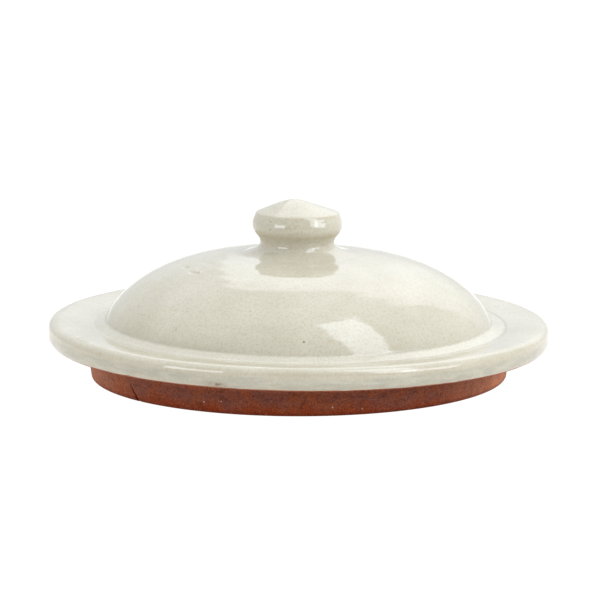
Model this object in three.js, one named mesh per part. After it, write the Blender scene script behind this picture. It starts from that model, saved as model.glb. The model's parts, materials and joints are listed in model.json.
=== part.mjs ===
// Lid of a round earthenware butter crock: a thrown dome with a broad rim, a luted knob on top,
// a locating ring luted on underneath and one coat of glaze over everything above the rim's edge.
// Millimetres, +Z up, +Y to the back. The origin is under the centre of the rim, on the plane
// that the ring's foot rests on. Profiles are given as [radius, height] pairs.
import * as THREE from 'three';

// Overall sizes
const RIM_RADIUS = 100;
const SEAT_HEIGHT = 12.8;          // underside of the rim, which rests on the crock's mouth
const SEAT_OUTER_RADIUS = 97.4;
const RIM_TOP = 21.7;
const KNOB_TOP = 70.7;

// Dome: (r / radius)^BOW + ((z - base) / rise)^CROWN = 1
const DOME = { radius: 77.9, base: 20.2, rise: 29 };
const DOME_INSIDE = { radius: 72, base: SEAT_HEIGHT, rise: 29.8 };
const DOME_FOOT_RADIUS = 77.15;
const BOW = 3.11;
const CROWN = 1.41;

// Knob and its collar
const KNOB_RADIUS = 18;
const NECK_RADIUS = 14.85;
const COLLAR_RADIUS = 19.5;
const COLLAR_FOOT_RADIUS = 24;

// Locating ring
const RING_FOOT_RADIUS = 82.25;
const RING_ROOT_RADIUS = 84.75;
const RING_INSIDE_RADIUS = 76.75;
const SEAT_INNER_RADIUS = RING_ROOT_RADIUS + 0.75;
const FOOT_ROUND = 0.8;

// Making: glaze thickness, joints and the wobble of handwork
const GLAZE = 0.6;
const JOINT_GAP = 0.3;
const CLAY_DEPTH = GLAZE + JOINT_GAP;
const LEAN = THREE.MathUtils.degToRad(0.65);   // the +X side of the rim sits lower than the -X side
const KNOB_OFF_CENTRE = -0.95;
const RING_OFF_CENTRE = 0.2;

const SEGMENTS = 48;

/** Points of a cubic curve through the profile plane, without its first point. */
function curve(steps, start, control1, control2, end) {
  const [a, b, c, d] = [start, control1, control2, end].map((p) => new THREE.Vector2(...p));
  return new THREE.CubicBezierCurve(a, b, c, d).getPoints(steps).slice(1);
}

/** Height of a dome's surface at radius r. */
function domeHeight(dome, r) {
  const left = Math.max(0, 1 - (r / dome.radius) ** BOW);
  return dome.base + dome.rise * left ** (1 / CROWN);
}

/** A dome's profile from radius `from` out to radius `to`, with closer points where it is steep. */
function domeProfile(dome, from, to, steps) {
  const points = [];
  for (let i = 0; i <= steps; i += 1) {
    const r = from + (to - from) * Math.sin((i / steps) * Math.PI / 2);
    points.push(new THREE.Vector2(r, domeHeight(dome, r)));
  }
  return points;
}

/** Moves a profile that runs outwards and down by `depth` into the material under it. */
function sunk(profile, depth) {
  return profile.map((point, i) => {
    const before = profile[Math.max(i - 1, 0)];
    const after = profile[Math.min(i + 1, profile.length - 1)];
    const along = after.clone().sub(before).normalize();
    if (point.x === 0) along.set(1, 0);
    return new THREE.Vector2(point.x + along.y * depth, point.y - along.x * depth);
  });
}

/** Knob from its tip to the edge of its collar: low cone, shoulder, undercut and flare. */
function knobProfile() {
  const tip = [0, KNOB_TOP];
  const shoulder = [KNOB_RADIUS - 2, KNOB_TOP - 5.05];
  const corner = [KNOB_RADIUS - 1, KNOB_TOP - 6.3];
  const widest = [KNOB_RADIUS, KNOB_TOP - 9.8];
  const neck = [NECK_RADIUS, KNOB_TOP - 16.8];
  const collar = [COLLAR_RADIUS, domeHeight(DOME, COLLAR_RADIUS) + 0.75];
  return [
    new THREE.Vector2(...tip),
    ...curve(4, tip, [3, KNOB_TOP], [8.5, KNOB_TOP - 2.4], shoulder),
    ...curve(2, shoulder, [16.45, KNOB_TOP - 5.2], [16.75, KNOB_TOP - 5.6], corner),
    ...curve(2, corner, [17.35, KNOB_TOP - 7.3], [KNOB_RADIUS, KNOB_TOP - 8.3], widest),
    ...curve(4, widest, [KNOB_RADIUS, KNOB_TOP - 13.8], [15.1, KNOB_TOP - 14.2], neck),
    ...curve(4, neck, [14.8, KNOB_TOP - 18.8], [16.4, 50.7], collar),
  ];
}

/** Foot of the collar, where the flare dies out on the dome. */
function collarFoot() {
  const collar = knobProfile().at(-1).toArray();
  const foot = [COLLAR_FOOT_RADIUS, domeHeight(DOME, COLLAR_FOOT_RADIUS)];
  return curve(2, collar, [21.2, 49.15], [22.6, 48.8], foot);
}

/** Rim from the foot of the dome to its lower edge: skirt, groove, rising top, rounded edge. */
function rimProfile() {
  const domeFoot = [DOME_FOOT_RADIUS, domeHeight(DOME, DOME_FOOT_RADIUS)];
  const skirt = [78.1, 21.65];
  const groove = [81.2, 20.35];
  const lip = [83.3, 20.6];
  const top = [97, RIM_TOP];
  const side = [RIM_RADIUS, RIM_TOP - 3];
  const lowerSide = [RIM_RADIUS, SEAT_HEIGHT + 3.2];
  const glazeLine = [RIM_RADIUS - 1.2, SEAT_HEIGHT + 0.25];
  return [
    ...curve(2, domeFoot, [77.3, 22.15], [77.6, 21.85], skirt),
    ...curve(2, skirt, [79.1, 21.25], [80, 20.8], groove),
    ...curve(2, groove, [81.8, 20.12], [82.5, 20.2], lip),
    ...curve(2, lip, [87.5, 21.15], [92.5, RIM_TOP], top),
    ...curve(3, top, [98.9, RIM_TOP], [RIM_RADIUS, RIM_TOP - 1.3], side),
    new THREE.Vector2(...lowerSide),
    ...curve(2, lowerSide, [RIM_RADIUS, 15.1], [99.5, 14], glazeLine),
  ];
}

/** Solid of revolution about Z from a profile that runs anticlockwise. */
function turned(profile) {
  return new THREE.LatheGeometry(profile, SEGMENTS).rotateX(Math.PI / 2);
}

/** Changes each vertex of a geometry in place. */
function eachVertex(geometry, change) {
  const positions = geometry.getAttribute('position');
  const vertex = new THREE.Vector3();
  for (let i = 0; i < positions.count; i += 1) {
    change(vertex.fromBufferAttribute(positions, i));
    positions.setXYZ(i, vertex.x, vertex.y, vertex.z);
  }
  return geometry;
}

/** Solid clay knob with a flared collar; its underside follows the top of the dome. */
function knobGeometry() {
  const joint = domeProfile(DOME, 0, COLLAR_RADIUS - CLAY_DEPTH / 2, 3);
  return turned([...sunk(joint, CLAY_DEPTH - JOINT_GAP), ...sunk(knobProfile(), CLAY_DEPTH).reverse()]);
}

/** Thrown body: hollow dome with the rim; its seat is the flat band outside the ring's root. */
function domeAndRimGeometry() {
  const inside = domeProfile(DOME_INSIDE, 0, DOME_INSIDE.radius, 9);
  const seat = [SEAT_INNER_RADIUS, SEAT_OUTER_RADIUS].map((r) => new THREE.Vector2(r, SEAT_HEIGHT));
  const outside = [...domeProfile(DOME, 0, DOME_FOOT_RADIUS, 9), ...rimProfile()];
  return turned([...inside, ...seat, ...sunk(outside, CLAY_DEPTH).reverse()]);
}

/** Strip of clay luted under the rim, cut to the rim's lean on top and level at its foot. */
function locatingRingGeometry() {
  const top = SEAT_HEIGHT - JOINT_GAP;
  const profile = [
    [RING_INSIDE_RADIUS + FOOT_ROUND, 0],
    [RING_FOOT_RADIUS, 0],
    [RING_FOOT_RADIUS + FOOT_ROUND * 0.7, FOOT_ROUND * 0.3],
    [RING_FOOT_RADIUS + FOOT_ROUND, FOOT_ROUND],
    [RING_ROOT_RADIUS, top],
    [RING_INSIDE_RADIUS, top],
    [RING_INSIDE_RADIUS, FOOT_ROUND],
    [RING_INSIDE_RADIUS + FOOT_ROUND, 0],
  ].map((p) => new THREE.Vector2(...p));
  return eachVertex(turned(profile), (v) => {
    if (v.z > top / 2) v.z -= (v.x + RING_OFF_CENTRE) * Math.tan(LEAN);
  });
}

/** Skin of glaze over the knob, the dome and the rim's top and edge. */
function glazeGeometry() {
  const dome = domeProfile(DOME, COLLAR_FOOT_RADIUS, DOME_FOOT_RADIUS, 7).slice(1);
  const outside = [...knobProfile(), ...collarFoot(), ...dome, ...rimProfile()];
  const skin = turned([...sunk(outside, GLAZE), ...outside.reverse()]);
  return eachVertex(skin, (v) => {
    const r = Math.hypot(v.x, v.y);
    v.x += KNOB_OFF_CENTRE * (1 - THREE.MathUtils.smoothstep(r, KNOB_RADIUS + 0.1, COLLAR_FOOT_RADIUS));
  });
}

function piece(name, geometry, colour, roughness) {
  const material = new THREE.MeshStandardMaterial({ color: colour, roughness, metalness: 0 });
  const mesh = new THREE.Mesh(geometry, material);
  mesh.name = name;
  return mesh;
}

const BARE_CLAY = 0x8a4a30;
const CREAM_GLAZE = 0xdcdac8;

const knob = piece('knob', knobGeometry(), BARE_CLAY, 0.85);
knob.position.x = KNOB_OFF_CENTRE;

const ring = piece('locating_ring', locatingRingGeometry(), BARE_CLAY, 0.85);
ring.position.x = RING_OFF_CENTRE;

const leaning = new THREE.Group();
leaning.rotation.y = LEAN;
leaning.position.set(-SEAT_HEIGHT * Math.sin(LEAN), 0, SEAT_HEIGHT * (1 - Math.cos(LEAN)));
leaning.add(
  knob,
  piece('dome_and_rim', domeAndRimGeometry(), BARE_CLAY, 0.85),
  piece('glaze_coat', glazeGeometry(), CREAM_GLAZE, 0.12),
);

const lid = new THREE.Group();
lid.add(leaning, ring);

export default lid;
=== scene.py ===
import json
import math

import bpy
import numpy as np
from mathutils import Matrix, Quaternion, Vector, noise


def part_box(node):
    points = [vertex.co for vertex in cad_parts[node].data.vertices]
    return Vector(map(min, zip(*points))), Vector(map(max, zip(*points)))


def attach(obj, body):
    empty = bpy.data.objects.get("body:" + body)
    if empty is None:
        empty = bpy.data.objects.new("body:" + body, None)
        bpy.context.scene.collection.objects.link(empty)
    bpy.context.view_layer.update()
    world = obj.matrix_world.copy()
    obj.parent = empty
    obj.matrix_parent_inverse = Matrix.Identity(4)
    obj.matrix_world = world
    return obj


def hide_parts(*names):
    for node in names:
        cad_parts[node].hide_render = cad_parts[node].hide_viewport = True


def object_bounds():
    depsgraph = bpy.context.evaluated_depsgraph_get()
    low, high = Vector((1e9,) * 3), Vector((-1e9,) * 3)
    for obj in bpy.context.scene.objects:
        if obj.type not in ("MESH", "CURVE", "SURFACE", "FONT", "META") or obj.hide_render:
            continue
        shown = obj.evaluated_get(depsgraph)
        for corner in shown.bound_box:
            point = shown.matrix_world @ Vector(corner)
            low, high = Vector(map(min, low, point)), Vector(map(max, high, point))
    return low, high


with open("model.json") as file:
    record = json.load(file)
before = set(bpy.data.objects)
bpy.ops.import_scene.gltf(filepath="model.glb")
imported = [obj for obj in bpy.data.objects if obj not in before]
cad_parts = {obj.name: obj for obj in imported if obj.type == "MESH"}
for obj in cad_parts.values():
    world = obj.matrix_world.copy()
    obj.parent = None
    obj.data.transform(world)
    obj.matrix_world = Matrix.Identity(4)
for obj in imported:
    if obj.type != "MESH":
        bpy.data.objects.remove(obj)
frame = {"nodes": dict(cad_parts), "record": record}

# The glazed lid of a round earthenware butter crock, standing on its locating ring in a white studio.
# Azimuths run from the camera's side: 0 is -Y, 90 is +X and 180 is behind.

# ---------------------------------------------------------------- sizes, from the frame where it has them

CAD_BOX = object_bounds()
GLAZE_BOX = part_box("glaze_coat")
RING_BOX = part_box("locating_ring")
KNOB_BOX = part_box("knob")
SEAT = next(m for m in frame["record"]["mounts"] if m["name"] == "rim_seat")

RIM_RADIUS = (GLAZE_BOX[1].y - GLAZE_BOX[0].y) / 2
U = RIM_RADIUS / 100                        # lengths below are in hundredths of the rim's radius
SEAT_HEIGHT = SEAT["pos_m"][2] / U
KNOB_TOP = CAD_BOX[1].z / U
KNOB_WIDEST = KNOB_TOP - 9.8
LEAN = math.atan2(-SEAT["axis"][0], -SEAT["axis"][2])
RING_OFF_CENTRE = (RING_BOX[0].x + RING_BOX[1].x) / 2 / U
RING_ROOT_RADIUS = (RING_BOX[1].y - RING_BOX[0].y) / 2 / U

KNOB_RADIUS = 18
KNOB_TIP_SHIFT = -1.15                      # the knob's tip stands this far off the knob's own axis
NECK_RADIUS = 14.85
COLLAR_RADIUS = 19.5
COLLAR_FOOT_RADIUS = 24
RING_FOOT_RADIUS = RING_ROOT_RADIUS - 2.5
RING_INSIDE_RADIUS = RING_ROOT_RADIUS - 8
DOME = {"radius": 77.9, "base": 20.2, "rise": 29}
DOME_INSIDE = {"radius": 72, "base": SEAT_HEIGHT, "rise": 29.8}
DOME_FOOT_RADIUS = 77.15
DENTS_FROM, DENTS_TO = 43, 50.5             # the dome's mesh is finer between these radii, for its dents
BOW, CROWN = 3.11, 1.41                     # dome: (r / radius) ^ BOW + ((z - base) / rise) ^ CROWN = 1
GLAZE = 0.6
CLAY_DEPTH = 0.9                            # from the glaze's surface down to the clay's
JOINT_GAP = 0.3
BEAD = 1.4                                  # width of the rounded edge where the glaze ends
FOOT_ROUND = 0.8
CRACK_DEPTH = 0.85

# Points of the rim from the foot of the dome out and down, as (radius, height)
SKIRT = (78.1, 21.65)
GROOVE = (81.2, 20.35)
LIP = (83.3, 20.6)
RIM_TOP = (97, 21.7)
SIDE_TOP = (100, 18.7)
SIDE_FOOT = (100, SEAT_HEIGHT + 3.2)
GLAZE_LINE = (98.8, SEAT_HEIGHT + 0.25)

# From one throwing ring to the next: on the glaze, inside the dome and inside the locating ring
GLAZE_STEP, INSIDE_STEP, RING_STEP = 6.5, 7.5, 3.4


# ---------------------------------------------------------------- outlines: rows of [radius, height]

def bezier(steps, a, b, c, d):
    """Cubic curve from a to d, without its first point."""
    t = np.linspace(0, 1, steps + 1)[1:, None]
    a, b, c, d = (np.array(p, float) for p in (a, b, c, d))
    return (1 - t) ** 3 * a + 3 * (1 - t) ** 2 * t * b + 3 * (1 - t) * t ** 2 * c + t ** 3 * d


def dome_height(dome, r):
    left = np.maximum(0, 1 - (np.asarray(r, float) / dome["radius"]) ** BOW)
    return dome["base"] + dome["rise"] * left ** (1 / CROWN)


def dome_outline(dome, start, end, steps):
    """From radius start out to radius end, closer together where the dome is steep."""
    r = start + (end - start) * np.sin(np.linspace(0, math.pi / 2, steps + 1))
    return np.stack([r, dome_height(dome, r)], 1)


COLLAR_HEIGHT = float(dome_height(DOME, COLLAR_RADIUS)) + 0.75
# The knob's box is as wide as its collar, which the lean moves to the right.
KNOB_OFF_CENTRE = (KNOB_BOX[0].x + KNOB_BOX[1].x) / 2 / U - math.sin(LEAN) * (COLLAR_HEIGHT - SEAT_HEIGHT)


def knob_outline():
    """Knob from its tip to the foot of its collar: low cone, shoulder, undercut and flare."""
    tip = (0, KNOB_TOP)
    shoulder = (KNOB_RADIUS - 2, KNOB_TOP - 5.05)
    corner = (KNOB_RADIUS - 1, KNOB_TOP - 6.3)
    widest = (KNOB_RADIUS, KNOB_WIDEST)
    neck = (NECK_RADIUS, KNOB_TOP - 16.8)
    collar = (COLLAR_RADIUS, COLLAR_HEIGHT)
    foot = (COLLAR_FOOT_RADIUS, float(dome_height(DOME, COLLAR_FOOT_RADIUS)))
    return np.concatenate([
        [tip],
        bezier(16, tip, (3, KNOB_TOP), (8.5, KNOB_TOP - 2.4), shoulder),
        bezier(7, shoulder, (16.45, KNOB_TOP - 5.2), (16.75, KNOB_TOP - 5.6), corner),
        bezier(8, corner, (17.35, KNOB_TOP - 7.3), (KNOB_RADIUS, KNOB_TOP - 8.3), widest),
        bezier(14, widest, (KNOB_RADIUS, KNOB_TOP - 13.8), (15.1, KNOB_TOP - 14.2), neck),
        bezier(12, neck, (14.8, KNOB_TOP - 18.8), (16.4, 50.7), collar),
        bezier(6, collar, (21.2, 49.15), (22.6, 48.8), foot),
    ])


def rim_outline():
    """Rim from the foot of the dome to its lower edge: skirt, groove, rising top, rounded edge."""
    dome_foot = (DOME_FOOT_RADIUS, float(dome_height(DOME, DOME_FOOT_RADIUS)))
    return np.concatenate([
        bezier(5, dome_foot, (77.3, 22.15), (77.6, 21.85), SKIRT),
        bezier(5, SKIRT, (79.1, 21.25), (80, 20.8), GROOVE),
        bezier(6, GROOVE, (81.8, 20.12), (82.5, 20.2), LIP),
        bezier(14, LIP, (87.5, 21.15), (92.5, 21.7), RIM_TOP),
        bezier(9, RIM_TOP, (98.9, 21.7), (100, 20.4), SIDE_TOP),
        bezier(4, SIDE_TOP, (100, 18), (100, 17.2), SIDE_FOOT),
        bezier(10, SIDE_FOOT, (100, 15.1), (99.5, 14), GLAZE_LINE),
    ])


class Outline:
    """A curve that runs outwards and down, followed by the distance along it."""

    def __init__(self, points):
        self.points = points
        steps = np.linalg.norm(np.diff(points, axis=0), axis=1)
        self.along = np.concatenate([[0], np.cumsum(steps)])
        heading = np.gradient(points, self.along, axis=0)
        heading /= np.linalg.norm(heading, axis=1)[:, None]
        if points[0, 0] == 0:
            heading[0] = (1, 0)
        self.normals = np.stack([-heading[:, 1], heading[:, 0]], 1)
        self.end = self.along[-1]

    def at(self, along, off=0):
        """Radius and height at a distance along the curve, moved off it along its normal."""
        radius, height = (np.interp(along, self.along, column) for column in self.points.T)
        across, up = (np.interp(along, self.along, column) for column in self.normals.T)
        return radius + across * off, height + up * off

    def nearest(self, radius, height):
        """Distance along the curve of the point nearest to this radius and height."""
        gaps = np.hypot(self.points[:, 0] - radius, self.points[:, 1] - height)
        return self.along[np.argmin(gaps)]


OUTSIDE = Outline(np.concatenate([
    knob_outline(),
    dome_outline(DOME, COLLAR_FOOT_RADIUS, DENTS_FROM, 20)[1:],
    dome_outline(DOME, DENTS_FROM, DENTS_TO, 20)[1:],
    dome_outline(DOME, DENTS_TO, DOME_FOOT_RADIUS, 50)[1:],
    rim_outline(),
]))


# ---------------------------------------------------------------- meshes

def smoothstep(x, low, high):
    t = np.clip((x - low) / (high - low), 0, 1)
    return t * t * (3 - 2 * t)


def spread(count, start, end, times):
    """Azimuths right round, in radians, that many times closer together from start to end, in degrees."""
    degrees = np.arange(-180, 180, 0.1)
    weight = np.where((degrees > start) & (degrees < end), times, 1).astype(float)
    reached = np.concatenate([[0], np.cumsum(weight)])
    wanted = np.arange(count) * reached[-1] / count
    return np.radians(np.interp(wanted, reached, np.append(degrees, 180)))


def lumps(points, size, seed):
    """Smooth noise between about -1 and 1, with lumps of this size."""
    flat = points.reshape(-1, 3) / size + seed
    return np.array([noise.noise(Vector(p)) for p in flat]).reshape(points.shape[:-1])


def round_about(radius, height, azimuth):
    return np.stack([radius * np.sin(azimuth), -radius * np.cos(azimuth), height], -1)


def leaned(co):
    """Leans points with the rim about the centre of its seat, and turns them into metres."""
    cosine, sine = math.cos(LEAN), math.sin(LEAN)
    x, y, z = co[..., 0], co[..., 1], co[..., 2] - SEAT_HEIGHT
    return np.stack([cosine * x + sine * z, y, SEAT_HEIGHT - sine * x + cosine * z], -1) * U


def turned(name, rings, closed=False, **marks):
    """A mesh of rings of points, each joined to the next; a ring whose points coincide is one point.
    Each mark is a number for every point, kept as an attribute that the materials read."""
    points, rows, kept = [], [], []
    count = rings.shape[1]
    for ring in rings:
        first = len(points)
        if np.ptp(ring, axis=0).max() < 1e-9:
            points.append(ring[0])
            rows.append(np.full(count, first))
            kept.append([0])
        else:
            points.extend(ring)
            rows.append(np.arange(first, first + count))
            kept.append(range(count))
    if closed:
        rows.append(rows[0])
    faces = []
    for low, high in zip(rows, rows[1:]):
        corners = np.stack([low, np.roll(low, -1), np.roll(high, -1), high], 1).tolist()
        faces.extend(list(dict.fromkeys(face)) for face in corners)
    mesh = bpy.data.meshes.new(name)
    mesh.from_pydata(points, [], faces)
    mesh.polygons.foreach_set("use_smooth", [True] * len(mesh.polygons))
    for mark, values in marks.items():
        values = np.broadcast_to(values, rings.shape[:2])
        flat = np.concatenate([row[list(keep)] for row, keep in zip(values, kept)])
        mesh.attributes.new(mark, "FLOAT", "POINT").data.foreach_set("value", flat.astype(float))
    mesh.update()
    obj = bpy.data.objects.new(name, mesh)
    bpy.context.scene.collection.objects.link(obj)
    return obj


# ---------------------------------------------------------------- glaze

# Blemishes thrown or fired into the glaze: azimuth in degrees, then the radius and height where
# each one lies, its half length round the lid, its half width across, and its height (a dent is < 0).
BLEMISHES = (
    (-74.5, 46.8, 45.2, 2.4, 0.9, -0.42),
    (-61, 47.8, 44.8, 3.2, 0.9, -0.38),
    (-58, 46.7, 45.2, 0.8, 0.6, 0.5),
    (-66, 45.2, 45.7, 1.6, 0.8, 0.25),
    (-69, 39.6, 46.9, 3, 1.8, -0.22),
    (-66, 44, 46, 8, 6, -0.1),
    (-81, 84.5, 21, 13, 3.2, -0.32),
    (-86, 88.9, 21.3, 2.2, 0.8, -0.14),
    (-75.5, 80.5, 20.6, 4, 1.4, -0.15),
    (-58, 95, 21.7, 1.3, 0.8, 0.3),
    (-61, 97.5, 21.6, 2.4, 0.7, -0.18),
    (-65, 95, 21.7, 1.3, 0.8, -0.2),
    (-28, 100, 16.4, 1.7, 0.4, 0.08),
    (-16.5, 99.5, 20.2, 0.8, 0.6, 0.12),
    (6, 72.6, 30.2, 0.8, 0.5, 0.05),
    (28, 77, 22.6, 0.7, 0.5, 0.06),
)
# Tan scars beside the dents: azimuth, radius, height, half length, half width and strength.
SCARS = (
    (-74.5, 46, 45.5, 2.4, 0.45, 0.6),
    (-60.5, 47, 45.1, 3, 0.45, 0.6),
    (-60, 97, 21.7, 4.5, 0.5, 0.8),
    (-66, 96, 21.7, 3.5, 0.45, 0.5),
    (-86, 88.4, 21.3, 1.8, 0.4, 0.5),
)
# Where the glaze's edge runs lower or, below 0, stops higher: azimuth in degrees, half width and drop.
DRIPS = ((-27, 1.5, 0.2), (10.5, 1.6, 0.3), (37, 1.4, 0.3), (-41, 2.2, -0.25), (24, 2, 0.15))
BURNT_AZIMUTH = -17.7                       # a thin brown patch of glaze low on the rim's side


def around(azimuth, degrees):
    """Signed angle in radians from an azimuth in degrees."""
    return (azimuth - math.radians(degrees) + math.pi) % (2 * math.pi) - math.pi


def glaze_edge(azimuth):
    """How far above its lowest line the glaze stops, at each azimuth."""
    ring = round_about(np.full_like(azimuth, 100), np.zeros_like(azimuth), azimuth)
    edge = 0.2 + 0.12 * lumps(ring, 14, 5.5) + 0.1 * lumps(ring, 4, 9.5)
    for degrees, width, drop in DRIPS:
        edge -= drop * np.exp(-(100 * around(azimuth, degrees) / width) ** 2)
    return edge


def throwing(along, azimuth, step, height):
    """Ridges left by the potter's fingers, one turn further on each time round."""
    return height * np.cos(2 * math.pi * along / step + azimuth)


def glaze_relief(along, radius, height, azimuth):
    """How far the glaze stands proud: throwing rings under it, slow waves, and its blemishes."""
    points = round_about(radius, height, azimuth)
    stretched = np.stack([points[..., 0] / 5, points[..., 1] / 5, along], -1)
    on_dome = smoothstep(radius, 22, 30) * (1 - smoothstep(radius, 72, 77))
    rings = throwing(along, azimuth, GLAZE_STEP, 1)
    relief = (0.012 + 0.014 * on_dome) * rings * (0.7 + 0.6 * lumps(points, 25, 3.5))
    relief += 0.10 * lumps(points, 34, 0.5) + 0.007 * lumps(stretched, 2.6, 7.5)
    relief *= 0.4 + 0.6 * smoothstep(radius, 18, 26)
    for degrees, at_radius, at_height, length, width, rise in BLEMISHES:
        round_it = radius * around(azimuth, degrees) / length
        across = (along - OUTSIDE.nearest(at_radius, at_height)) / width
        relief += rise * np.exp(-round_it ** 2 - across ** 2)
    return relief * smoothstep(radius, 0, 3)


def near(along, radius, height, width):
    """1 on a line round the lid, falling to 0 at this distance from it."""
    return np.exp(-((along - OUTSIDE.nearest(radius, height)) / width) ** 2)


def make_glaze():
    """A closed skin, its under face from the knob's tip out to the rim's edge and its outer face back."""
    azimuth = spread(400, -80, 45, 2)[None, :]
    under, over = OUTSIDE.along[::6], OUTSIDE.along[::-1]
    under_edge = OUTSIDE.end - np.array([1.5, 1, 0.6, 0.3, 0.1, 0])
    under = np.append(under[under < OUTSIDE.end - 2], under_edge)
    rest = np.concatenate([under, over])[:, None]
    is_outer = (np.arange(len(rest)) >= len(under))[:, None]
    along = rest - glaze_edge(azimuth) * smoothstep(rest, OUTSIDE.end - 5, OUTSIDE.end)
    from_edge = np.clip((OUTSIDE.end - rest) / BEAD, 0, 1)
    bead = np.sqrt(from_edge * (2 - from_edge))
    radius, height = OUTSIDE.at(along)
    relief = glaze_relief(along, radius, height, azimuth)
    off = np.where(is_outer, relief * bead - GLAZE / 2 * (1 - bead), -GLAZE * np.maximum(bead, 0.5))
    radius, height = OUTSIDE.at(along, off)
    co = round_about(radius, height, azimuth)
    co[..., 0] += KNOB_OFF_CENTRE * (1 - smoothstep(radius, KNOB_RADIUS + 0.1, COLLAR_FOOT_RADIUS))
    co[..., 0] += KNOB_TIP_SHIFT * smoothstep(height, KNOB_TOP - 5.5, KNOB_TOP - 1.5)
    thin = (
        0.55 * near(along, KNOB_RADIUS - 1.6, KNOB_TOP - 5.4, 0.6)
        + 0.75 * near(along, KNOB_RADIUS - 1.3, KNOB_TOP - 13.4, 0.9)
        + 0.7 * near(along, NECK_RADIUS, KNOB_TOP - 17, 0.8)
        + 0.5 * near(along, 100, 19.5, 1.1)
        + 0.5 * near(along, 99.4, SEAT_HEIGHT + 1, 0.7)
    )
    burnt = np.exp(-(100 * around(azimuth, BURNT_AZIMUTH) / 3.4) ** 2)
    burnt = burnt * near(along, 99.6, SEAT_HEIGHT + 1.8, 1.1)
    scar = np.zeros_like(along)
    for degrees, at_radius, at_height, length, width, strength in SCARS:
        round_it = at_radius * around(azimuth, degrees) / length
        scar += strength * np.exp(-round_it ** 2) * near(along, at_radius, at_height, width)
    # Painted light, in part: the skirt between the dome's foot and the groove, where glaze pools, is marked
    # to be drawn lighter and yellower for the light the fillet catches.
    pool = smoothstep(along, OUTSIDE.nearest(77.1, 22.6), OUTSIDE.nearest(*SKIRT))
    pool *= 1 - smoothstep(along, OUTSIDE.nearest(*GROOVE), OUTSIDE.nearest(84, 20.7))
    # Painted shade, in part: the rim's upright side below its rounded edge, where the glaze is also thin,
    # is marked to be drawn greyer and darker.
    steep = smoothstep(along, OUTSIDE.nearest(100, 19), OUTSIDE.nearest(100, 17.5))
    return turned("glaze", leaned(co), thin=thin, pool=pool, burnt=burnt, scar=scar, steep=steep)


# ---------------------------------------------------------------- clay

def make_body():
    """The thrown body from the crown of its hollow, out under the rim and back up below the glaze."""
    azimuth = spread(360, 0, 0, 1)[None, :]
    inside = dome_outline(DOME_INSIDE, 0, DOME_INSIDE["radius"], 90)
    under = np.array([(r, SEAT_HEIGHT) for r in (73.5, 76, 79, 82, 85, 88, 91, 94, 96, 97.2)])
    edge = np.array([(98.0, SEAT_HEIGHT + 0.1), (98.5, SEAT_HEIGHT + 0.35)])
    along = OUTSIDE.end - np.array([0.6, 1.2, 1.8, 2.6, 3.6])
    depth = np.array([0.28, 0.3, 0.4, 0.6, CLAY_DEPTH])
    low_side = np.stack(OUTSIDE.at(along, -depth), 1)
    dome = Outline(np.concatenate([dome_outline(DOME, 0, DOME_FOOT_RADIUS, 60), rim_outline()]))
    hidden = np.stack(dome.at(dome.along[dome.along < dome.end - 5][::-3], -CLAY_DEPTH), 1)
    hidden[-1, 0] = 0                       # on the axis
    outline = np.concatenate([inside, under, edge, low_side, hidden])
    radius, height = (column[:, None] + 0 * azimuth for column in outline.T)
    co = round_about(radius, height, azimuth)
    inner = (np.arange(len(outline)) < len(inside))[:, None]
    ridges = throwing(radius + 0.7 * (DOME_INSIDE["base"] - height), azimuth, INSIDE_STEP, 0.22)
    ridges *= inner * smoothstep(radius, 3, 10) * (1 - smoothstep(radius, 66, 71))
    trimmed = 0.05 * np.cos(radius * 2.1) * (radius > 73) * (radius < 97)
    co[..., 2] += ridges + trimmed + 0.12 * inner * lumps(co, 18, 2.5) * smoothstep(radius, 0, 5)
    return turned("thrown_body", leaned(co))


# The crack runs up the ring from its foot, in degrees of azimuth and in height.
CRACK_FOOT_AZIMUTH, CRACK_TOP_AZIMUTH, CRACK_TOP = -48.4, -51.4, 6.6


def crack(azimuth, height):
    """Depth of the crack: 1 along its jagged line, 0 away from it."""
    way = np.clip(height / CRACK_TOP, 0, 1)
    jag = 0.28 * np.sin(height * 2.9 + 0.6) + 0.2 * np.sin(height * 6.3)
    line = CRACK_FOOT_AZIMUTH + (CRACK_TOP_AZIMUTH - CRACK_FOOT_AZIMUTH) * way + jag * (1 - way)
    off_line = np.abs(RING_ROOT_RADIUS * around(azimuth, 0) - RING_ROOT_RADIUS * np.radians(line))
    half_width = 0.62 * np.sqrt(1 - way) + 0.03
    return np.clip(1 - off_line / half_width, 0, 1) * (height < CRACK_TOP) * (1 - way ** 3)


def ring_outline(top):
    """The ring's section from its foot, outwards, up the side, over the top and down inside."""
    corner = np.radians(np.linspace(0, 90, 7))
    curve, rise = FOOT_ROUND * np.sin(corner), FOOT_ROUND * (1 - np.cos(corner))
    outer_foot = np.stack([RING_FOOT_RADIUS + curve, rise], 1)
    side = np.linspace((RING_FOOT_RADIUS + FOOT_ROUND, FOOT_ROUND), (RING_ROOT_RADIUS, top), 46)[1:]
    inside = np.linspace((RING_INSIDE_RADIUS, top), (RING_INSIDE_RADIUS, FOOT_ROUND), 16)
    inner_foot = np.stack([RING_INSIDE_RADIUS + FOOT_ROUND - curve, rise], 1)[::-1][1:]
    return np.concatenate([outer_foot, side, inside, inner_foot])


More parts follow.
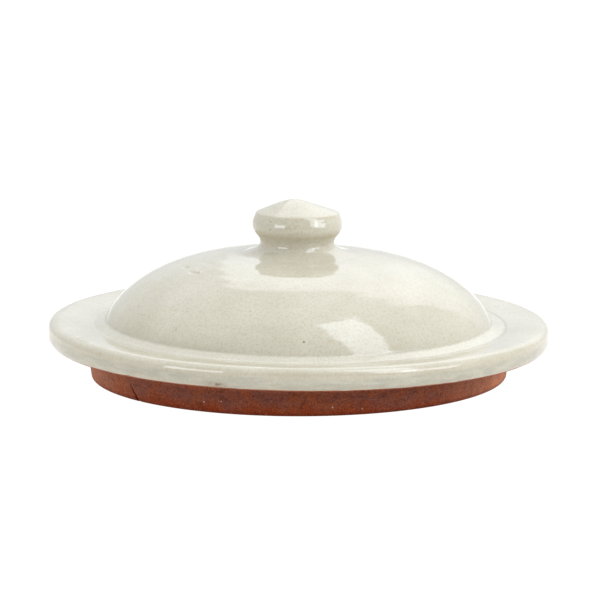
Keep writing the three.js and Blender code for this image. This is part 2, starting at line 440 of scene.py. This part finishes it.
def make_ring():
    """The locating ring: level at its foot, its top cut to the rim's lean."""
    top = SEAT_HEIGHT - JOINT_GAP
    azimuth = spread(380, -54, -46, 12)[None, :]
    outline = ring_outline(top)
    radius, height = (column[:, None] + 0 * azimuth for column in outline.T)
    co = round_about(radius, height, azimuth)
    stretched = co * np.array([0.12, 0.12, 1])
    outer = radius > RING_FOOT_RADIUS - 0.5
    inner = radius < RING_INSIDE_RADIUS + 0.1
    body = smoothstep(height, 0.2, 1.5) * (1 - smoothstep(height, top - 1.2, top - 0.2))
    relief = outer * body * (0.07 * lumps(co, 11, 4.5) + 0.05 * lumps(stretched, 0.9, 6.5))
    relief += inner * body * throwing(height, azimuth, RING_STEP, 0.12)
    split = crack(azimuth, height) * outer
    radius = radius + np.where(inner, -relief, relief) - CRACK_DEPTH * split
    co = round_about(radius, height, azimuth)
    co[..., 0] += RING_OFF_CENTRE
    co[..., 2] -= np.where(co[..., 2] > top / 2, co[..., 0] * math.tan(LEAN), 0)
    # Painted light: both sides drawn lighter and oranger where the lamps fall on them, the right one more,
    # and less of the back.
    flash = 0.9 * smoothstep(azimuth, 0.6, 1.3) + 0.5 * smoothstep(-azimuth, 0.8, 1.3)
    flash *= 1 - 0.7 * smoothstep(np.abs(azimuth), 1.75, 2.4)
    return turned("ring", co * U, closed=True, crack=split, flash=flash)


# ---------------------------------------------------------------- materials

# The largest dots, one by one: azimuth in degrees, radius and height where each lies, and its own radius.
IRON_SPOTS = (
    (1.5, 74.3, 27.2, 0.55),
    (10, 78.6, 20.0, 0.4),
    (9, 68, 33.5, 0.3),
    (51, 77, 24, 0.35),
)
GROG_SPOTS = (
    (-25.5, 83.4, 3.7, 0.3),
    (-20.5, 83.5, 4.6, 0.25),
    (9, 83.5, 3.7, 0.35),
    (17, 83.4, 2.7, 0.28),
)


class Shader:
    """A node material on the Principled BSDF, built from short calls; lengths are in metres."""

    def __init__(self, name):
        self.material = bpy.data.materials.new(name)
        self.material.use_nodes = True
        self.tree = self.material.node_tree
        self.surface = self.tree.nodes["Principled BSDF"]
        self.place = self.node("TexCoord", {}, "Object")

    @classmethod
    def for_world(cls, world):
        """The same short calls on a world's nodes, where a place is a direction."""
        s = cls.__new__(cls)
        s.tree = world.node_tree
        s.surface = s.tree.nodes["Background"]
        s.place = s.node("TexCoord", {}, "Generated")
        return s

    def put(self, socket, value):
        if isinstance(value, bpy.types.NodeSocket):
            self.tree.links.new(value, socket)
        else:
            socket.default_value = value

    def node(self, kind, inputs, output=0, **settings):
        new = self.tree.nodes.new("ShaderNode" + kind)
        for key, value in settings.items():
            setattr(new, key, value)
        for key, value in inputs.items():
            self.put(new.inputs[key], value)
        return new.outputs[output]

    def math(self, operation, a, b=0.0):
        return self.node("Math", {0: a, 1: b}, operation=operation)

    def mix(self, a, b, factor):
        a, b = (c if isinstance(c, bpy.types.NodeSocket) else (*c, 1) for c in (a, b))
        return self.node("Mix", {0: factor, 6: a, 7: b}, 2, data_type="RGBA")

    def ramp(self, value, low, high, to_low=0.0, to_high=1.0):
        return self.node("MapRange", {
            "Value": value, "From Min": low, "From Max": high, "To Min": to_low, "To Max": to_high})

    def noise(self, size, detail=2.0, roughness=0.5, stretch=1.0):
        """Noise with lumps of this size, drawn out level by stretch."""
        shrink = (1 / stretch, 1 / stretch, 1)
        place = self.node("VectorMath", {0: self.place, 1: shrink}, operation="MULTIPLY")
        return self.node("TexNoise", {
            "Vector": place, "Scale": 1 / size, "Detail": detail, "Roughness": roughness})

    def attribute(self, name):
        return self.node("Attribute", {}, "Fac", attribute_name=name)

    def height(self):
        return self.node("SeparateXYZ", {"Vector": self.place}, "Z")

    def specks(self, spacing, size, share):
        """Dots of up to this radius, in that share of cells that are spacing wide."""
        cells = {"Vector": self.place, "Scale": 1 / spacing}
        gap = self.node("TexVoronoi", cells, "Distance")
        pick = self.node("TexVoronoi", cells, "Color")
        red, green = (self.node("SeparateColor", {"Color": pick}, c) for c in ("Red", "Green"))
        reach = self.ramp(green, 0, 1, 0.4 * size / spacing, size / spacing)
        dot = self.ramp(self.math("DIVIDE", gap, reach), 0.6, 1.1, 1, 0)
        return self.math("MULTIPLY", dot, self.math("LESS_THAN", red, share))

    def spot(self, azimuth, radius, height, size):
        """One dot of this radius at a place on the lid."""
        centre = leaned(round_about(radius, height, math.radians(azimuth))[None])[0]
        gap = self.node("VectorMath", {0: self.place, 1: tuple(centre)}, "Value", operation="DISTANCE")
        return self.ramp(gap, 0.6 * size * U, 1.1 * size * U, 1, 0)

    def bump(self, height, distance, normal=None):
        inputs = {"Height": height, "Distance": distance, "Strength": 1.0}
        if normal is not None:
            inputs["Normal"] = normal
        return self.node("Bump", inputs)


def cream_glaze():
    """Glossy cream, greener and greyer in clouds and, with painted shade, low on the side, with tan edges
    and iron spots; painted light makes it lighter on the skirt.
    """
    s = Shader("cream_glaze")
    cream = (0.54, 0.505, 0.40)
    grey_green = (0.478, 0.445, 0.338)
    grey = (0.385, 0.365, 0.29)
    straw = (0.61, 0.585, 0.475)
    tan = (0.40, 0.30, 0.175)
    ochre = (0.36, 0.26, 0.13)
    brown = (0.17, 0.09, 0.05)
    colour = s.mix(grey_green, cream, s.ramp(s.noise(0.024, 4, 0.6), 0.35, 0.65))
    # Painted light, in part: lighter straw on the skirt, where the glaze also pools.
    colour = s.mix(colour, straw, s.math("MULTIPLY", s.attribute("pool"), 0.3))
    # Painted shade with the thin glaze's mottle: the rim's side drawn greyer and darker.
    mottle = s.ramp(s.noise(0.0019, 4, 0.65, stretch=5), 0.38, 0.62, 0.3, 1)
    colour = s.mix(colour, grey, s.math("MULTIPLY", s.attribute("steep"), mottle))
    edge = s.math("MULTIPLY", s.attribute("thin"), s.ramp(s.noise(0.0035, 5, 0.7), 0.38, 0.68, 0.1, 0.75))
    colour = s.mix(colour, tan, edge)
    scar = s.math("MULTIPLY", s.attribute("scar"), s.ramp(s.noise(0.0011, 3), 0.3, 0.55, 0.3, 1))
    colour = s.mix(colour, ochre, scar)
    burnt = s.math("MULTIPLY", s.attribute("burnt"), s.ramp(s.noise(0.0012, 3, 0.7), 0.38, 0.58, 0.15, 1))
    colour = s.mix(colour, brown, burnt)
    colour = s.mix(colour, tan, s.ramp(s.noise(0.0009, 3, 0.7), 0.47, 0.68, 0, 0.46))
    colour = s.mix(colour, tan, s.math("MULTIPLY", s.specks(0.0019, 0.00028, 0.5), 0.9))
    dark = s.specks(0.0068, 0.00032, 0.45)
    for spot in IRON_SPOTS:
        dark = s.math("MAXIMUM", dark, s.spot(*spot))
    colour = s.mix(colour, brown, s.math("MULTIPLY", dark, 0.75))
    s.put(s.surface.inputs["Base Color"], colour)
    s.put(s.surface.inputs["Roughness"], s.ramp(s.noise(0.012, 3), 0.3, 0.7, 0.05, 0.1))
    s.put(s.surface.inputs["IOR"], 1.57)
    peel = s.bump(s.noise(0.0026, 2), 0.00005)
    pinholes = s.math("SUBTRACT", 1.0, s.specks(0.0048, 0.0003, 0.12))
    s.put(s.surface.inputs["Normal"], s.bump(pinholes, 0.00006, peel))
    return s.material


def bare_clay():
    """Fired terracotta: purple-brown to rust, painted lighter and pinker under the rim and on the lit
    sides, orange and then nearly black at the foot as painted shade, with pale grog.
    """
    s = Shader("bare_clay")
    purple = (0.165, 0.05, 0.031)
    rust = (0.22, 0.056, 0.021)
    orange = (0.20, 0.025, 0.001)
    burnt = (0.085, 0.010, 0.001)
    pink = (0.36, 0.105, 0.055)
    flashed = (0.55, 0.21, 0.105)
    dark = (0.03, 0.009, 0.007)
    pale = (0.36, 0.13, 0.065)
    grog = (0.5, 0.38, 0.31)
    black = (0.002, 0.001, 0.001)
    colour = s.mix(purple, rust, s.ramp(s.noise(0.008, 5, 0.65), 0.42, 0.6))
    wander = s.ramp(s.noise(0.012, 3), 0.3, 0.7, -0.002, 0.002)
    level = s.math("ADD", s.height(), wander)
    colour = s.mix(colour, orange, s.ramp(level, 0.0008, 0.0052, 0.95, 0))
    # Painted light: the ring drawn lighter and pinker near its top, against the shade of the rim over it.
    colour = s.mix(colour, pink, s.ramp(s.height(), 0.0085, 0.0122, 0, 0.9))
    # Painted light: the ring's sides drawn lighter where the lamps fall on them.
    flash = s.math("MULTIPLY", s.attribute("flash"), s.ramp(s.noise(0.010, 4, 0.6), 0.35, 0.62, 0.55, 1))
    colour = s.mix(colour, flashed, flash)
    # Painted shade: nearly black at the very foot, where the contact shadow falls.
    colour = s.mix(colour, burnt, s.ramp(s.height(), 0.0002, 0.0018, 0.8, 0))
    colour = s.mix(colour, dark, s.ramp(s.noise(0.0026, 3, 0.6), 0.5, 0.7, 0, 0.4))
    colour = s.mix(colour, dark, s.ramp(s.noise(0.0007, 3, 0.7), 0.48, 0.62, 0, 0.5))
    colour = s.mix(colour, pale, s.ramp(s.noise(0.0006, 2, 0.6), 0.58, 0.68, 0, 0.45))
    # Painted shade: black down in the crack.
    colour = s.mix(colour, black, s.ramp(s.attribute("crack"), 0.05, 0.35))
    coarse = s.specks(0.0062, 0.00022, 0.3)
    fine = s.math("MULTIPLY", s.specks(0.0023, 0.00014, 0.3), 0.5)
    white = s.math("MAXIMUM", coarse, fine)
    for spot in GROG_SPOTS:
        white = s.math("MAXIMUM", white, s.spot(*spot))
    colour = s.mix(colour, grog, s.math("MULTIPLY", white, 0.8))
    s.put(s.surface.inputs["Base Color"], colour)
    s.put(s.surface.inputs["Roughness"], s.ramp(s.noise(0.004, 3), 0.3, 0.7, 0.6, 0.85))
    s.put(s.surface.inputs["Specular IOR Level"], 0.08)
    s.put(s.surface.inputs["Sheen Weight"], 0.22)
    s.put(s.surface.inputs["Sheen Roughness"], 0.35)
    s.put(s.surface.inputs["Sheen Tint"], (1.0, 0.62, 0.4, 1))
    s.put(s.surface.inputs["Normal"], s.bump(s.noise(0.0010, 5, 0.7), 0.0004))
    return s.material


GLAZE_MATERIAL = cream_glaze()
CLAY_MATERIAL = bare_clay()

for obj, node, material, slot in (
    (make_glaze(), "glaze_coat", GLAZE_MATERIAL, "cream_glaze"),
    (make_body(), "dome_and_rim", CLAY_MATERIAL, "bare_clay"),
    (make_ring(), "locating_ring", CLAY_MATERIAL, "bare_clay"),
):
    obj.data.materials.append(material)
    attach(obj, "root")
    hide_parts(node)
for place in frame["nodes"]["knob"].material_slots:
    place.material = CLAY_MATERIAL


# ---------------------------------------------------------------- stage, light and camera

WALL, PANEL = 0.88, 1.05                    # their brightness, beside the floor's 1


def add_floor():
    """A white floor that glows, so that shadows on it stay faint."""
    bpy.ops.mesh.primitive_plane_add(size=400 * RIM_RADIUS)
    floor = bpy.context.object
    floor.name = "floor"
    s = Shader("floor_white")
    s.put(s.surface.inputs["Base Color"], (0.12, 0.12, 0.12, 1))
    s.put(s.surface.inputs["Roughness"], 1.0)
    s.put(s.surface.inputs["Specular IOR Level"], 0.0)
    s.put(s.surface.inputs["Emission Color"], (1, 1, 1, 1))
    s.put(s.surface.inputs["Emission Strength"], 1.0)
    floor.data.materials.append(s.material)


def direction(azimuth, elevation):
    """Unit vector towards a light."""
    a, e = math.radians(azimuth), math.radians(elevation)
    return Vector((math.sin(a) * math.cos(e), -math.cos(a) * math.cos(e), math.sin(e)))


def softbox(name, azimuth, elevation, distance, width, height, radiance, roll=0):
    """A rectangular light that faces the lid, turned by roll degrees about the line to it.
    Distance, width and height are in metres."""
    data = bpy.data.lights.new(name, "AREA")
    data.shape = "RECTANGLE"
    data.size, data.size_y = width, height
    data.energy = radiance * math.pi * width * height
    data.color = (0.94, 1, 1.1)
    light = bpy.data.objects.new(name, data)
    aim = Vector((0, 0, KNOB_TOP * U / 2))
    out = direction(azimuth, elevation)
    light.location = aim + out * distance
    light.rotation_mode = "QUATERNION"
    light.rotation_quaternion = out.to_track_quat("Z", "Y") @ Quaternion((0, 0, 1), math.radians(roll))
    light.visible_camera = False
    bpy.context.scene.collection.objects.link(light)


def add_world():
    """White walls and ceiling, darker on the camera's side, and a brighter panel behind the lid.
    The camera itself sees plain white."""
    world = bpy.data.worlds.new("studio")
    world.use_nodes = True
    s = Shader.for_world(world)

    def towards(axis):
        return s.node("VectorMath", {0: s.place, 1: tuple(axis)}, "Value", operation="DOT_PRODUCT")

    # The panel ends at both sides, along a slanting edge at the left and at its top, and fades downwards.
    up = s.height()
    level_part = s.math("SQRT", s.math("SUBTRACT", 1.0, s.math("MULTIPLY", up, up)))
    behind = s.math("DIVIDE", towards(direction(167.5, 0)), level_part)
    left_edge = s.ramp(s.math("DIVIDE", towards((1, 0, 0)), up), -0.285, -0.25)
    panel = s.math("MULTIPLY", s.ramp(behind, 0.884, 0.898), s.ramp(up, 0.765, 0.795, 1, 0))
    panel = s.math("MULTIPLY", panel, left_edge)
    panel = s.math("MULTIPLY", panel, s.ramp(up, 0.1, 0.65, 0, PANEL))
    # The walls brighten upwards and a little to the right, and are dark round the camera.
    wall = s.ramp(towards((0.08, 0, 0.5)), -1, 1, WALL - 1, WALL + 1)
    wall = s.math("MULTIPLY", wall, s.ramp(towards(direction(5, 10)), 0.1, 0.95, 1, 0.1))
    cool_white = (0.97, 1, 1.04)
    colour = s.node("VectorMath", {0: s.math("ADD", wall, panel), 1: cool_white}, operation="MULTIPLY")
    for_camera = s.node("LightPath", {}, "Is Camera Ray")
    colour = s.node("VectorMath", {0: colour, 1: for_camera}, operation="MAXIMUM")
    s.put(s.surface.inputs["Color"], colour)
    bpy.context.scene.world = world


def add_camera():
    """The photograph's view: in front, a little above and far off."""
    elevation = 10.4
    distance = 15 * RIM_RADIUS
    focal_length = 225.2
    aim = Vector((0.62, 0, 0.4215 * KNOB_TOP)) * U      # in the middle of the picture
    data = bpy.data.cameras.new("camera")
    data.lens = focal_length
    camera = bpy.data.objects.new("camera", data)
    back = direction(0, elevation)
    camera.location = aim + back * distance
    camera.rotation_mode = "QUATERNION"
    camera.rotation_quaternion = back.to_track_quat("Z", "Y")
    bpy.context.scene.collection.objects.link(camera)
    bpy.context.scene.camera = camera


add_floor()
add_world()
softbox("key_right", azimuth=52, elevation=46, distance=1.8, width=0.66, height=2.5, radiance=3.5, roll=-14)
softbox("key_low", azimuth=62, elevation=17, distance=1.7, width=0.85, height=0.75, radiance=4.2, roll=-14)
softbox("fill_left", azimuth=-47, elevation=14, distance=1.5, width=0.75, height=0.6, radiance=5)
add_camera()
bpy.context.scene.view_settings.view_transform = "Standard"
